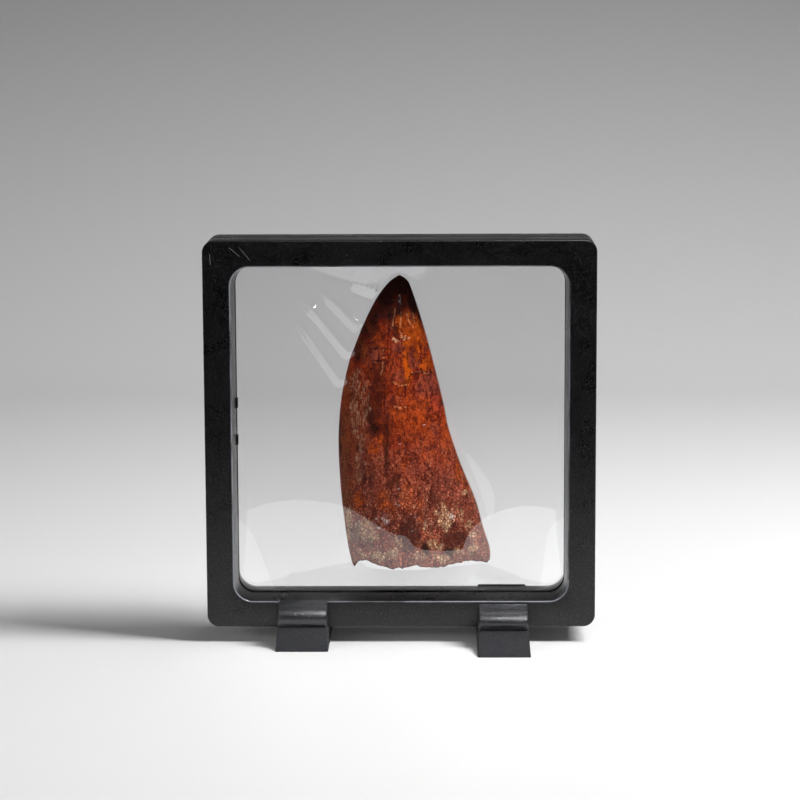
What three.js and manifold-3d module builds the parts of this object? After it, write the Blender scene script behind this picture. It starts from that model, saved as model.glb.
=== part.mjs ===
// Fossil carcharodontosaurus tooth, held between two clear films in a square display frame on two feet.
// Millimetres, +Z up. The origin is on the table, under the middle of the frame, and the front faces -Y.
import * as THREE from "three";
import { mergeVertices } from "three/addons/utils/BufferGeometryUtils.js";
import Module from "manifold-3d";

const wasm = await Module();
wasm.setup();

// Frame: two square rings face to face
const frameSide = 110;
const frameDepth = 20;
const frameLift = 4.5;
const outerRadius = 5;
const windowWidth = 94.5;
const windowHeight = 95.2;
const windowRadius = 4.3;
const wallDraft = 0.75;
const edgeBevel = 0.4;
const cornerSteps = 5;
const frameMiddleZ = frameLift + frameSide / 2;

// Seam: the rims nearly meet, and a rebate inside them grips both films
const gap = 0.3;
const filmThickness = 0.2;
const filmGap = 0.25;
const rebateHalf = 52;
const filmHalf = 50.5;
const filmInnerY = filmGap / 2;
const rebateY = filmInnerY + filmThickness + filmGap;

// Catches: two small nubs on the front half's inner lip, at the left
const catchHeight = 3;
const catchDepth = 1.5;
const catchReach = 0.4;
const catchRoot = 0.8;
const catchCentres = [57.1, 67.7];

// Feet: a slotted clip with a tall lip on one side and a short lip with a longer toe on the other
const footCentres = { left: -27.7, right: 28.95 };
const footWidth = 13.9;
const footFlare = 0.065;
const footFlareTop = 6;
const footEdge = 0.35;
const slotFloor = frameLift - gap;
const toeHeight = 1.0;
const tallLip = { top: 12.25, land: 4.4, bulge: 6.4, valley: 6.1, neck: 6.2, toe: 11.2 };
const shortLip = { top: 11.2, land: 4.4, bulge: 7.0, valley: 4.8, neck: 7.0, toe: 17.7 };
const noseSwell = 0.5;
const noseDrop = 1.8;
const heelReach = 0.5;
const heelDrop = 1.1;
const noseSteps = 7;
const slopeSteps = 3;

// Tooth: its two edges from the broken base to the tip, as [x, z]
const tip = [-0.2, 103.8];
const mesialEdge = [
  [-14.2, 21.4], [-15.1, 25.6], [-16.05, 32.2], [-17.2, 43.2], [-17.7, 56.5], [-16.8, 68.7],
  [-14.5, 79.3], [-12.9, 83.6], [-9.7, 91.4], [-6.3, 97.7], [-3.1, 101.8], tip,
];
const distalEdge = [
  [25.4, 21.9], [25.4, 25.4], [23.5, 31.5], [21.3, 39.5], [17.2, 49.6], [13.7, 60.1], [12.3, 67.1],
  [9.4, 79.2], [6.2, 91.0], [3.3, 99.8], [1.9, 102.5], tip,
];
const thicknessRatio = 0.385;
const ridgePlace = -0.2;
const sectionPower = 0.75;
const chordSearchSteps = 18;
const chordMargin = 1e-3;
const toothRows = 28;
const denseRows = 84;
const tipCrowding = 1.5;
const rearFullness = 1.06;

// Broken base: the front face's lower edge as [x, z], and how far the rear edge and the hollow depart
const breakLine = [
  [-14.2, 21.4], [-13.3, 20.3], [-12.1, 21.9], [-10.1, 22.8], [-8.7, 22.2], [-6.1, 21.5], [-2.9, 20.8],
  [0.4, 20.9], [4.5, 21.9], [5.5, 21.3], [9.6, 21.0], [13.0, 21.3], [15.6, 22.0], [19.4, 22.4],
  [23.2, 21.7], [24.5, 21.1], [25.4, 21.9],
];
const rearBreakWave = { height: 0.7, rate: 0.55, phase: 1 };
const hollowRows = 3;
const hollowDepth = 2.2;
const hollowWave = { height: 0.5, acrossRate: 2.4, deepRate: 1.7 };

// Serrations along the distal edge
const denticlePitch = 0.6;
const denticleDepth = 0.2;
const serratedFrom = 0.02;
const serratedTo = 0.985;

// Films: stretched over the tooth, relaxed on a fine grid and drawn on a coarser one
const standOff = 0.3;
const clearRadius = 1.6;
const clearDirections = 8;
const relaxCells = 62;
const relaxRounds = 500;
const overRelax = 1.85;
const filmColumns = { left: 4, middle: 14, right: 3 };
const filmMiddle = [-20, 27];
const filmRows = 24;

function material(color, roughness, opacity = 1) {
  const transparent = opacity < 1;
  return new THREE.MeshStandardMaterial({ color, roughness, metalness: 0, opacity, transparent });
}

// A geometry from plain vertices and triangles, turned so that its faces point out
function geometryOf(vertices, triangles) {
  let volume = 0;
  for (const [a, b, c] of triangles) {
    volume += vertices[a].dot(vertices[b].clone().cross(vertices[c]));
  }
  const order = volume < 0 ? triangles.map(([a, b, c]) => [a, c, b]) : triangles;
  const geometry = new THREE.BufferGeometry().setFromPoints(vertices);
  geometry.setIndex(order.flat());
  geometry.computeVertexNormals();
  return geometry;
}

function toSolid(geometry) {
  const bare = geometry.clone();
  bare.deleteAttribute("normal");
  bare.deleteAttribute("uv");
  const merged = mergeVertices(bare, 1e-4);
  const mesh = new wasm.Mesh({
    numProp: 3,
    vertProperties: new Float32Array(merged.attributes.position.array),
    triVerts: new Uint32Array(merged.index.array),
  });
  return new wasm.Manifold(mesh);
}

function toGeometry(solid) {
  const mesh = solid.getMesh();
  const geometry = new THREE.BufferGeometry();
  geometry.setAttribute("position", new THREE.BufferAttribute(mesh.vertProperties, 3));
  geometry.setIndex(new THREE.BufferAttribute(mesh.triVerts, 1));
  geometry.computeVertexNormals();
  return geometry;
}

// A rounded rectangle around the frame's middle, in a plane of constant y
function roundedLoop(halfWidth, halfHeight, radius, y) {
  const loop = [];
  for (let corner = 0; corner < 4; corner++) {
    const start = (corner * Math.PI) / 2;
    const cx = (halfWidth - radius) * (corner === 0 || corner === 3 ? 1 : -1);
    const cz = (halfHeight - radius) * (corner < 2 ? 1 : -1);
    for (let step = 0; step <= cornerSteps; step++) {
      const angle = start + (step / cornerSteps) * (Math.PI / 2);
      const x = cx + radius * Math.cos(angle);
      const z = cz + radius * Math.sin(angle);
      loop.push(new THREE.Vector3(x, y, frameMiddleZ + z));
    }
  }
  return loop;
}

// A ring whose section is a closed chain of loops
function ringOf(loops) {
  const size = loops[0].length;
  const triangles = [];
  for (let k = 0; k < loops.length; k++) {
    const next = (k + 1) % loops.length;
    for (let i = 0; i < size; i++) {
      const j = (i + 1) % size;
      const [a, b, c, d] = [k * size + i, k * size + j, next * size + j, next * size + i];
      triangles.push([a, b, c], [a, c, d]);
    }
  }
  return geometryOf(loops.flat(), triangles);
}

// One half of the frame. side is -1 for the front half and 1 for the rear half.
function frameHalf(side) {
  const outer = frameSide / 2;
  const face = frameDepth / 2;
  const insideW = windowWidth / 2;
  const insideH = windowHeight / 2;
  const loop = (halfW, halfH, radius, y) => roundedLoop(halfW, halfH, radius, side * y);
  return ringOf([
    loop(outer, outer, outerRadius, gap / 2),
    loop(outer, outer, outerRadius, face - edgeBevel),
    loop(outer - edgeBevel, outer - edgeBevel, outerRadius - edgeBevel, face),
    loop(insideW + edgeBevel, insideH + edgeBevel, windowRadius + edgeBevel, face),
    loop(insideW, insideH, windowRadius, face - edgeBevel),
    loop(insideW - wallDraft, insideH - wallDraft, windowRadius - wallDraft, rebateY),
    loop(rebateHalf, rebateHalf, outerRadius / 2, rebateY),
    loop(rebateHalf, rebateHalf, outerRadius / 2, gap / 2),
  ]);
}

function frameFront() {
  const lip = -(windowWidth / 2 - wallDraft);
  let solid = toSolid(frameHalf(-1));
  for (const z of catchCentres) {
    const nub = new THREE.BoxGeometry(catchReach + catchRoot, catchDepth, catchHeight);
    nub.translate(lip + (catchReach - catchRoot) / 2, -rebateY - gap - catchDepth / 2, z);
    solid = solid.add(toSolid(nub));
  }
  return toGeometry(solid);
}

// One side of a foot's section from the slot out to the toe, as [reach beyond the frame's face, z]
function lipOutline(lip) {
  const swell = new THREE.CubicBezierCurve(
    new THREE.Vector2(lip.land, lip.top),
    new THREE.Vector2(lip.bulge, lip.top),
    new THREE.Vector2(lip.bulge + noseSwell, lip.valley + noseDrop),
    new THREE.Vector2(lip.neck, lip.valley),
  );
  const slope = new THREE.QuadraticBezierCurve(
    new THREE.Vector2(lip.neck, lip.valley),
    new THREE.Vector2(lip.neck + heelReach, lip.valley - heelDrop),
    new THREE.Vector2(lip.toe, toeHeight),
  );
  const points = [[gap, slotFloor], [gap, lip.top]];
  for (const p of swell.getPoints(noseSteps)) points.push([p.x, p.y]);
  for (const p of slope.getPoints(slopeSteps).slice(1)) points.push([p.x, p.y]);
  points.push([lip.toe, 0]);
  return points;
}

// A foot with its tall lip on the given side: -1 in front, 1 behind
function foot(tallSide) {
  const face = frameDepth / 2;
  const tall = lipOutline(tallLip).map(([r, z]) => new THREE.Vector2(tallSide * (face + r), z));
  const short = lipOutline(shortLip).map(([r, z]) => new THREE.Vector2(-tallSide * (face + r), z));
  const section = new THREE.Shape([...tall, ...short.reverse()]);
  const geometry = new THREE.ExtrudeGeometry(section, {
    depth: footWidth - 2 * footEdge,
    bevelThickness: footEdge,
    bevelSize: footEdge,
    bevelOffset: -footEdge,
    bevelSegments: 1,
  });
  const axes = new THREE.Matrix4().makeBasis(
    new THREE.Vector3(0, 1, 0), new THREE.Vector3(0, 0, 1), new THREE.Vector3(1, 0, 0),
  );
  geometry.translate(0, 0, footEdge - footWidth / 2).applyMatrix4(axes);
  const position = geometry.attributes.position;
  for (let i = 0; i < position.count; i++) {
    const low = Math.max(0, 1 - position.getZ(i) / footFlareTop);
    position.setX(i, position.getX(i) * (1 + footFlare * low));
  }
  return toGeometry(toSolid(geometry));
}

function edgeCurve(points) {
  return new THREE.SplineCurve(points.map(([x, z]) => new THREE.Vector2(x, z)));
}

const mesialCurve = edgeCurve(mesialEdge);
const distalCurve = edgeCurve(distalEdge);

// The tooth's chord at a height fraction: its two edge points and its half thickness
function chordAt(t) {
  const left = mesialCurve.getPointAt(t);
  const right = distalCurve.getPointAt(t);
  return { left, right, half: (left.distanceTo(right) * thicknessRatio) / 2 };
}

// How full the section is at a place across it, 0 at both edges and 1 on the ridge
function fullness(across) {
  const s = 2 * across - 1;
  const u = (s - ridgePlace) / (s < ridgePlace ? 1 + ridgePlace : 1 - ridgePlace);
  return Math.pow(Math.max(0, 1 - u * u), sectionPower);
}

// A point of the tooth's surface. face is -1 for the front and 1 for the rear.
function toothPoint(t, across, face) {
  const { left, right, half } = chordAt(t);
  const x = left.x + (right.x - left.x) * across;
  const z = left.y + (right.y - left.y) * across;
  const y = face * half * fullness(across) * (face > 0 ? rearFullness : 1);
  return new THREE.Vector3(x, y, z);
}

// Half the tooth's thickness in front of or behind a point of its middle plane, 0 outside it
function toothHalf(x, z) {
  let low = 0;
  let high = 1;
  const point = new THREE.Vector2(x, z);
  for (let i = 0; i < chordSearchSteps; i++) {
    const t = (low + high) / 2;
    const { left, right } = chordAt(t);
    const above = right.clone().sub(left).cross(point.clone().sub(left)) > 0;
    if (above) low = t;
    else high = t;
  }
  if (low < chordMargin || high > 1 - chordMargin) return 0;
  const { left, right, half } = chordAt(low);
  const across = (x - left.x) / (right.x - left.x);
  return across <= 0 || across >= 1 ? 0 : half * fullness(across);
}

function tooth() {
  const vertices = [];
  const triangles = [];
  const add = (point) => vertices.push(point) - 1;
  const [first, last] = [breakLine[0], breakLine.at(-1)];
  const places = breakLine.map(([x]) => (x - first[0]) / (last[0] - first[0]));
  const tipId = add(new THREE.Vector3(tip[0], 0, tip[1]));

  // A column from base to tip, as {t, id}
  const column = (across, face, baseZ, rows) => {
    const chain = [];
    for (let i = 0; i < rows; i++) {
      const t = 1 - Math.pow(1 - i / rows, tipCrowding);
      const point = toothPoint(t, across, face);
      if (i === 0) point.z = baseZ;
      chain.push({ t, id: add(point) });
    }
    return [...chain, { t: 1, id: tipId }];
  };

  // The distal column, with a valley and a peak for each denticle
  const serrated = () => {
    const chain = [{ t: 0, id: add(toothPoint(0, 1, 0)) }];
    const length = distalCurve.getLength();
    const count = Math.floor(((serratedTo - serratedFrom) * length) / denticlePitch);
    for (let n = 0; n < count * 2; n++) {
      const t = serratedFrom + (serratedTo - serratedFrom) * (n / (count * 2));
      const point = distalCurve.getPointAt(t);
      const along = distalCurve.getTangentAt(t);
      const inward = n % 2 ? 0 : denticleDepth;
      const [x, z] = [point.x - along.y * inward, point.y + along.x * inward];
      chain.push({ t, id: add(new THREE.Vector3(x, 0, z)) });
    }
    chain.push({ t: 1, id: tipId });
    return chain;
  };

  // Triangles between two columns, whichever has the nearer next point going first
  const stitch = (a, b, flip) => {
    const put = (p, q, r) => {
      if (p !== q && q !== r && p !== r) triangles.push(flip ? [p, r, q] : [p, q, r]);
    };
    let [i, j] = [0, 0];
    while (i < a.length - 1 || j < b.length - 1) {
      const stepA = j === b.length - 1 || (i < a.length - 1 && a[i + 1].t <= b[j + 1].t);
      if (stepA) {
        put(a[i].id, b[j].id, a[i + 1].id);
        i++;
      } else {
        put(a[i].id, b[j].id, b[j + 1].id);
        j++;
      }
    }
  };

  const mesial = column(0, 0, first[1], toothRows);
  const distal = serrated();
  const sheets = [-1, 1].map((face) => {
    const inner = breakLine.slice(1, -1).map(([x, z], k, all) => {
      const wave = rearBreakWave.height * Math.sin(x * rearBreakWave.rate + rearBreakWave.phase);
      const baseZ = face > 0 ? z + wave : z;
      return column(places[k + 1], face, baseZ, k === all.length - 1 ? denseRows : toothRows);
    });
    return [mesial, ...inner, distal];
  });
  sheets.forEach((columns, s) => {
    for (let k = 0; k < columns.length - 1; k++) stitch(columns[k], columns[k + 1], s === 1);
  });

  // The broken underside: rows from the front edge to the rear edge, hollowed between
  const [frontSheet, rearSheet] = sheets;
  const count = frontSheet.length;
  const rows = [frontSheet.map((c) => c[0].id)];
  for (let r = 1; r <= hollowRows; r++) {
    const share = r / (hollowRows + 1);
    rows.push(frontSheet.map((c, k) => {
      if (k === 0 || k === count - 1) return c[0].id;
      const point = vertices[c[0].id].clone().lerp(vertices[rearSheet[k][0].id], share);
      const deep = Math.sin(Math.PI * share) * Math.sin((Math.PI * k) / (count - 1));
      const rough = Math.sin(k * hollowWave.acrossRate + r * hollowWave.deepRate);
      point.z += hollowDepth * deep + hollowWave.height * rough;
      return add(point);
    }));
  }
  rows.push(rearSheet.map((c) => c[0].id));
  for (let r = 0; r < rows.length - 1; r++) {
    for (let k = 0; k < count - 1; k++) {
      const [a, b, c, d] = [rows[r][k], rows[r][k + 1], rows[r + 1][k + 1], rows[r + 1][k]];
      if (b !== c) triangles.push([a, c, b]);
      if (a !== d) triangles.push([a, d, c]);
    }
  }
  return geometryOf(vertices, triangles);
}

// The film's height over its flat rest, relaxed like a stretched skin that may not enter the tooth
function relaxedFilm(fullnessOfSide) {
  const halfW = windowWidth / 2 - wallDraft;
  const halfH = windowHeight / 2 - wallDraft;
  const radius = windowRadius - wallDraft;
  const xOf = (i) => -halfW + (2 * halfW * i) / relaxCells;
  const zOf = (j) => frameMiddleZ - halfH + (2 * halfH * j) / relaxCells;
  const size = relaxCells + 1;
  const height = new Float64Array(size * size);
  const floor = new Float64Array(size * size);
  const free = new Uint8Array(size * size);
  for (let j = 1; j < relaxCells; j++) {
    for (let i = 1; i < relaxCells; i++) {
      const [x, z] = [xOf(i), zOf(j)];
      const dx = Math.max(0, Math.abs(x) - (halfW - radius));
      const dz = Math.max(0, Math.abs(z - frameMiddleZ) - (halfH - radius));
      if (Math.hypot(dx, dz) >= radius) continue;
      free[j * size + i] = 1;
      let half = toothHalf(x, z);
      for (let k = 0; k < clearDirections; k++) {
        const angle = (2 * Math.PI * k) / clearDirections;
        const [nearX, nearZ] = [x + clearRadius * Math.cos(angle), z + clearRadius * Math.sin(angle)];
        half = Math.max(half, toothHalf(nearX, nearZ));
      }
      if (half > 0) floor[j * size + i] = half * fullnessOfSide + standOff - filmInnerY;
    }
  }
  for (let round = 0; round < relaxRounds; round++) {
    for (let j = 1; j < relaxCells; j++) {
      for (let i = 1; i < relaxCells; i++) {
        const n = j * size + i;
        if (!free[n]) continue;
        const mean = (height[n - 1] + height[n + 1] + height[n - size] + height[n + size]) / 4;
        height[n] = Math.max(floor[n], height[n] + overRelax * (mean - height[n]));
      }
    }
  }
  return (x, z) => {
    const u = ((x + halfW) / (2 * halfW)) * relaxCells;
    const v = ((z - frameMiddleZ + halfH) / (2 * halfH)) * relaxCells;
    if (u <= 0 || v <= 0 || u >= relaxCells || v >= relaxCells) return 0;
    const [i, j] = [Math.floor(u), Math.floor(v)];
    const [fu, fv] = [u - i, v - j];
    const n = j * size + i;
    const low = height[n] * (1 - fu) + height[n + 1] * fu;
    const high = height[n + size] * (1 - fu) + height[n + size + 1] * fu;
    return low * (1 - fv) + high * fv;
  };
}

function spread(from, to, count) {
  return Array.from({ length: count }, (_, k) => from + ((to - from) * k) / count);
}

// A film as a thin closed sheet. side is -1 for the front film and 1 for the rear film.
function film(side) {
  const height = relaxedFilm(side > 0 ? rearFullness : 1);
  const halfW = windowWidth / 2 - wallDraft;
  const halfH = windowHeight / 2 - wallDraft;
  const xs = [
    -filmHalf,
    ...spread(-halfW, filmMiddle[0], filmColumns.left),
    ...spread(filmMiddle[0], filmMiddle[1], filmColumns.middle),
    ...spread(filmMiddle[1], halfW, filmColumns.right),
    halfW,
    filmHalf,
  ];
  const zs = [-filmHalf, ...spread(-halfH, halfH, filmRows), halfH, filmHalf].map((z) => z + frameMiddleZ);
  const vertices = [];
  for (const offset of [filmInnerY, filmInnerY + filmThickness]) {
    for (const z of zs) {
      for (const x of xs) vertices.push(new THREE.Vector3(x, side * (offset + height(x, z)), z));
    }
  }
  const [nx, nz] = [xs.length, zs.length];
  const id = (layer, j, i) => (layer * nz + j) * nx + i;
  const triangles = [];
  const quad = (a, b, c, d) => triangles.push([a, b, c], [a, c, d]);
  for (let j = 0; j < nz - 1; j++) {
    for (let i = 0; i < nx - 1; i++) {
      quad(id(0, j, i), id(0, j + 1, i), id(0, j + 1, i + 1), id(0, j, i + 1));
      quad(id(1, j, i), id(1, j, i + 1), id(1, j + 1, i + 1), id(1, j + 1, i));
    }
    quad(id(0, j, 0), id(1, j, 0), id(1, j + 1, 0), id(0, j + 1, 0));
    quad(id(0, j, nx - 1), id(0, j + 1, nx - 1), id(1, j + 1, nx - 1), id(1, j, nx - 1));
  }
  for (let i = 0; i < nx - 1; i++) {
    quad(id(0, 0, i), id(0, 0, i + 1), id(1, 0, i + 1), id(1, 0, i));
    quad(id(0, nz - 1, i), id(1, nz - 1, i), id(1, nz - 1, i + 1), id(0, nz - 1, i + 1));
  }
  return geometryOf(vertices, triangles);
}

const enamel = material(0x6e2411, 0.45);
const blackPlastic = material(0x0d0e10, 0.5);
const footPlastic = material(0x14161a, 0.45);
const clearFilm = material(0xf4f4f6, 0.05, 0.25);

const object = new THREE.Group();

function place(name, geometry, look, x = 0) {
  const mesh = new THREE.Mesh(geometry, look);
  mesh.name = name;
  mesh.position.x = x;
  object.add(mesh);
}

place("tooth", tooth(), enamel);
place("frame_front", frameFront(), blackPlastic);
place("frame_rear", frameHalf(1), blackPlastic);
place("film_front", film(-1), clearFilm);
place("film_rear", film(1), clearFilm);
place("foot_left", foot(-1), footPlastic, footCentres.left);
place("foot_right", foot(1), footPlastic, footCentres.right);

export default object;
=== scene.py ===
"""A fossil carcharodontosaurus tooth between two clear films, in a square display frame on two feet.

Lengths are in millimetres until a mesh, a light or the camera is made, and +Z is up. The front faces -Y.
"""

import math

import bpy
import numpy as np
from mathutils import Matrix, Vector, noise


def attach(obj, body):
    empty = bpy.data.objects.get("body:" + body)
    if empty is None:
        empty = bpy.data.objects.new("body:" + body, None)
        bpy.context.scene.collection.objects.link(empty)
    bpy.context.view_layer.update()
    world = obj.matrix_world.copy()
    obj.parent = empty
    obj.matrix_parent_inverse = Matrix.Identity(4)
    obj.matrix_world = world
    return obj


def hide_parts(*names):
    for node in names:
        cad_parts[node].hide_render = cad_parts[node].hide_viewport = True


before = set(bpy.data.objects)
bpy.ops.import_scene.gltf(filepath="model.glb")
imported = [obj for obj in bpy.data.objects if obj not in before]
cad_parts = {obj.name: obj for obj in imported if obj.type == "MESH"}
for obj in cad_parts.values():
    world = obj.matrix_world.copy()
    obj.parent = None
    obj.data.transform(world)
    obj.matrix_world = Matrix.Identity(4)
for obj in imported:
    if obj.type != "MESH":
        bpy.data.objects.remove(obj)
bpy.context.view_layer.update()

MM = 0.001
PER_MM = 1000

# Frame, as in the solid model
FRAME_SIDE = 110
FRAME_DEPTH = 20
FRAME_LIFT = 4.5
FRAME_MIDDLE_Z = FRAME_LIFT + FRAME_SIDE / 2
OUTER_RADIUS = 3.4
WINDOW_WIDTH = 94.5
WINDOW_HEIGHT = 95.2
WINDOW_RADIUS = 5.4
WALL_DRAFT = 0.75
GROOVE_DEPTH = 0.75
GROOVE_REACH = 1.7
SEAM_GAP = 0.3
REBATE_HALF = 52
REBATE_Y = 0.575
EDGE_ROUND = 0.45
RIM_ROUND = 0.12
CORNER_STEPS = 16
ROUND_STEPS = 4
CATCHES = {"centres": (57.1, 67.7), "height": 3, "depth": 1.5, "reach": 0.4, "root": 0.8}

# Thin scratches on the frame's face, as (start, end, half width)
FRAME_SCRATCHES = [
    ((-47.6, 112.8), (-44.3, 110.0), 0.12),
    ((-44.8, 112.9), (-41.3, 108.7), 0.1),
    ((-52.8, 111.0), (-52.6, 107.6), 0.16),
]

# Feet, as in the solid model
FOOT_CENTRES = {"left": -27.7, "right": 28.95}
FOOT_WIDTH = 13.9
FOOT_FLARE = 0.065
FOOT_FLARE_TOP = 6
FOOT_EDGE = 0.4
TALL_LIP = {"top": 12.25, "land": 3.0, "dip": 0.8, "nose": (3.9, 3.4), "toe": 11.2}
SHORT_LIP = {"top": 11.2, "land": 3.2, "dip": 1.0, "nose": (4.4, 3.1), "toe": 17.7}
NOSE_TURN = math.radians(132)
NOSE_STEPS = 24
TOE_HEIGHT = 0.5
TOE_STEPS = 6
MATT_BELOW = 5.8

# Tooth, as in the solid model: its edges from the broken base to the tip, as (x, z)
TIP = (-0.2, 103.8)
MESIAL_EDGE = [
    (-14.2, 21.4), (-15.1, 25.6), (-16.05, 32.2), (-17.2, 43.2), (-17.7, 56.5), (-16.8, 68.7),
    (-14.5, 79.3), (-12.9, 83.6), (-9.7, 91.4), (-6.3, 97.7), (-3.1, 101.8), TIP,
]
DISTAL_EDGE = [
    (25.4, 21.9), (25.4, 25.4), (23.5, 31.5), (21.3, 39.5), (17.2, 49.6), (13.7, 60.1), (12.3, 67.1),
    (9.4, 79.2), (6.2, 91.0), (3.3, 99.8), (1.9, 102.5), TIP,
]
BREAK_LINE = [
    (-14.2, 21.4), (-13.3, 20.3), (-12.1, 21.9), (-10.1, 22.8), (-8.7, 22.2), (-6.1, 21.5), (-2.9, 20.8),
    (0.4, 20.9), (4.5, 21.9), (5.5, 21.3), (9.6, 21.0), (13.0, 21.3), (15.6, 22.0), (19.4, 22.4),
    (23.2, 21.7), (24.5, 21.1), (25.4, 21.9),
]
THICKNESS_RATIO = 0.385
RIDGE_PLACE = -0.2
SECTION_POWER = 0.75
REAR_FULLNESS = 1.06
BREAK_BLEND = 5
REAR_BREAK_WAVE = {"height": 0.7, "rate": 0.55, "phase": 1}
HOLLOW_DEPTH = 2.2
HOLLOW_ROWS = 10

# Denticles along the distal edge: each takes four rows of the tooth's mesh
DENTICLES = 146
ROWS_PER_DENTICLE = 4
DENTICLE_DEPTH = 0.3
DENTICLE_SHAPE = (1, 0.25, 0, 0.25)
DENTICLE_COLUMNS = (1, 0.6, 0.2)
TOOTH_COLUMNS = {"front": 104, "rear": 44}

# Films
FILM_HALF = 50.5
FILM_INNER_Y = 0.125
FILM_THICKNESS = 0.12
FILM_STAND_OFF = 0.3
FILM_CLEAR_RADIUS = 1.0
FILM_CELLS = 208
FILM_ROUNDS = 900
OVER_RELAX = 1.97


def tone(red, green, blue):
    """A colour as the shader reads it, from its screen values of 0 to 255."""
    linear = [((v / 255 + 0.055) / 1.055) ** 2.4 if v > 10 else v / 255 / 12.92 for v in (red, green, blue)]
    return (*linear, 1)


# Node graphs

class Graph:
    """A material's node tree, with short calls for the nodes that the materials here use."""

    def __init__(self, name):
        self.material = bpy.data.materials.new(name)
        self.material.use_nodes = True
        self.tree = self.material.node_tree
        self.surface = next(n for n in self.tree.nodes if n.type == "BSDF_PRINCIPLED")
        self.place = self.add("ShaderNodeTexCoord").outputs["Object"]

    def add(self, kind, **settings):
        node = self.tree.nodes.new(kind)
        for name, value in settings.items():
            setattr(node, name, value)
        return node

    def put(self, socket, value):
        """Links an output to a socket, or sets the socket to a plain value."""
        if isinstance(value, bpy.types.NodeSocket):
            self.tree.links.new(value, socket)
        else:
            socket.default_value = value

    def shade(self, **values):
        """Sets the surface's sockets, such as base_color or roughness."""
        for name, value in values.items():
            self.put(self.surface.inputs[name.replace("_", " ").title().replace("Ior", "IOR")], value)
        return self.material

    def math(self, operation, first, second=0.5, third=0.5, clamp=False):
        node = self.add("ShaderNodeMath", operation=operation, use_clamp=clamp)
        for socket, value in zip(node.inputs, (first, second, third)):
            self.put(socket, value)
        return node.outputs[0]

    def stretched(self, x, y, z):
        """Object coordinates in millimetres, scaled along each axis."""
        node = self.add("ShaderNodeMapping")
        self.put(node.inputs["Vector"], self.place)
        node.inputs["Scale"].default_value = (x * PER_MM, y * PER_MM, z * PER_MM)
        return node.outputs[0]

    def noise(self, vector, scale=1.0, detail=3.0, roughness=0.55, distortion=0.0):
        node = self.add("ShaderNodeTexNoise")
        for name, value in (("Vector", vector), ("Scale", scale), ("Detail", detail), ("Roughness", roughness),
                            ("Distortion", distortion)):
            self.put(node.inputs[name], value)
        return node.outputs[0]

    def spread(self, value):
        """A noise value, which keeps near its middle, spread over 0 to 1."""
        return self.between(value, 0.3, 0.7)

    def cells(self, vector, scale=1.0, feature="F1"):
        node = self.add("ShaderNodeTexVoronoi", feature=feature)
        self.put(node.inputs["Vector"], vector)
        self.put(node.inputs["Scale"], scale)
        return node.outputs["Distance"]

    def plates(self, scale, raggedness):
        """A random value on each of many ragged plates, and a mask of the thin lines between them."""
        wobble = self.add("ShaderNodeTexNoise")
        self.put(wobble.inputs["Vector"], self.stretched(1, 1, 0.7))
        for name, value in (("Scale", 0.35), ("Detail", 5), ("Roughness", 0.65)):
            self.put(wobble.inputs[name], value)
        bent = self.add("ShaderNodeVectorMath", operation="MULTIPLY_ADD")
        self.put(bent.inputs[0], wobble.outputs["Color"])
        bent.inputs[1].default_value = (raggedness, raggedness, raggedness)
        self.put(bent.inputs[2], self.stretched(1, 1, 0.6))
        cell = self.add("ShaderNodeTexVoronoi")
        self.put(cell.inputs["Vector"], bent.outputs[0])
        self.put(cell.inputs["Scale"], scale)
        return cell.outputs["Color"], self.between(self.cells(bent.outputs[0], scale, "DISTANCE_TO_EDGE"), 0.035, 0)

    def between(self, value, low, high, start=0.0, end=1.0):
        """A smooth step from start to end as the value goes from low to high."""
        node = self.add("ShaderNodeMapRange", interpolation_type="SMOOTHSTEP")
        for name, number in (("Value", value), ("From Min", low), ("From Max", high), ("To Min", start), ("To Max", end)):
            self.put(node.inputs[name], number)
        return node.outputs[0]

    def blend(self, share, first, second):
        """A colour share of the way from the first colour to the second."""
        node = self.add("ShaderNodeMix", data_type="RGBA")
        self.put(node.inputs[0], share)
        self.put(node.inputs[6], first)
        self.put(node.inputs[7], second)
        return node.outputs[2]

    def attribute(self, name):
        return self.add("ShaderNodeAttribute", attribute_name=name).outputs["Fac"]

    def along(self, vector, x, z, y=0):
        """How far places lie in a direction."""
        node = self.add("ShaderNodeVectorMath", operation="DOT_PRODUCT")
        self.put(node.inputs[0], vector)
        node.inputs[1].default_value = (x, y, z)
        return node.outputs["Value"]

    def stroke(self, vector, start, end, half_width):
        """A mask of one straight stroke between two (x, z) places on the front face."""
        length = math.hypot(end[0] - start[0], end[1] - start[1])
        ux, uz = (end[0] - start[0]) / length, (end[1] - start[1]) / length
        side = self.math("SUBTRACT", self.along(vector, -uz, ux), -start[0] * uz + start[1] * ux)
        run = self.math("SUBTRACT", self.along(vector, ux, uz), start[0] * ux + start[1] * uz)
        middle = self.math("ABSOLUTE", self.math("SUBTRACT", run, length / 2))
        return self.math("MULTIPLY", self.between(self.math("ABSOLUTE", side), half_width, half_width / 2),
                         self.between(middle, length / 2, length / 2 - 0.5))

    def bump(self, height, distance, strength=1.0, normal=None):
        """Raises the surface by a height of 0 to 1, times a distance in millimetres."""
        node = self.add("ShaderNodeBump")
        self.put(node.inputs["Height"], height)
        self.put(node.inputs["Distance"], distance * MM)
        self.put(node.inputs["Strength"], strength)
        if normal is not None:
            self.put(node.inputs["Normal"], normal)
        return node.outputs[0]


# Materials

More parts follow.
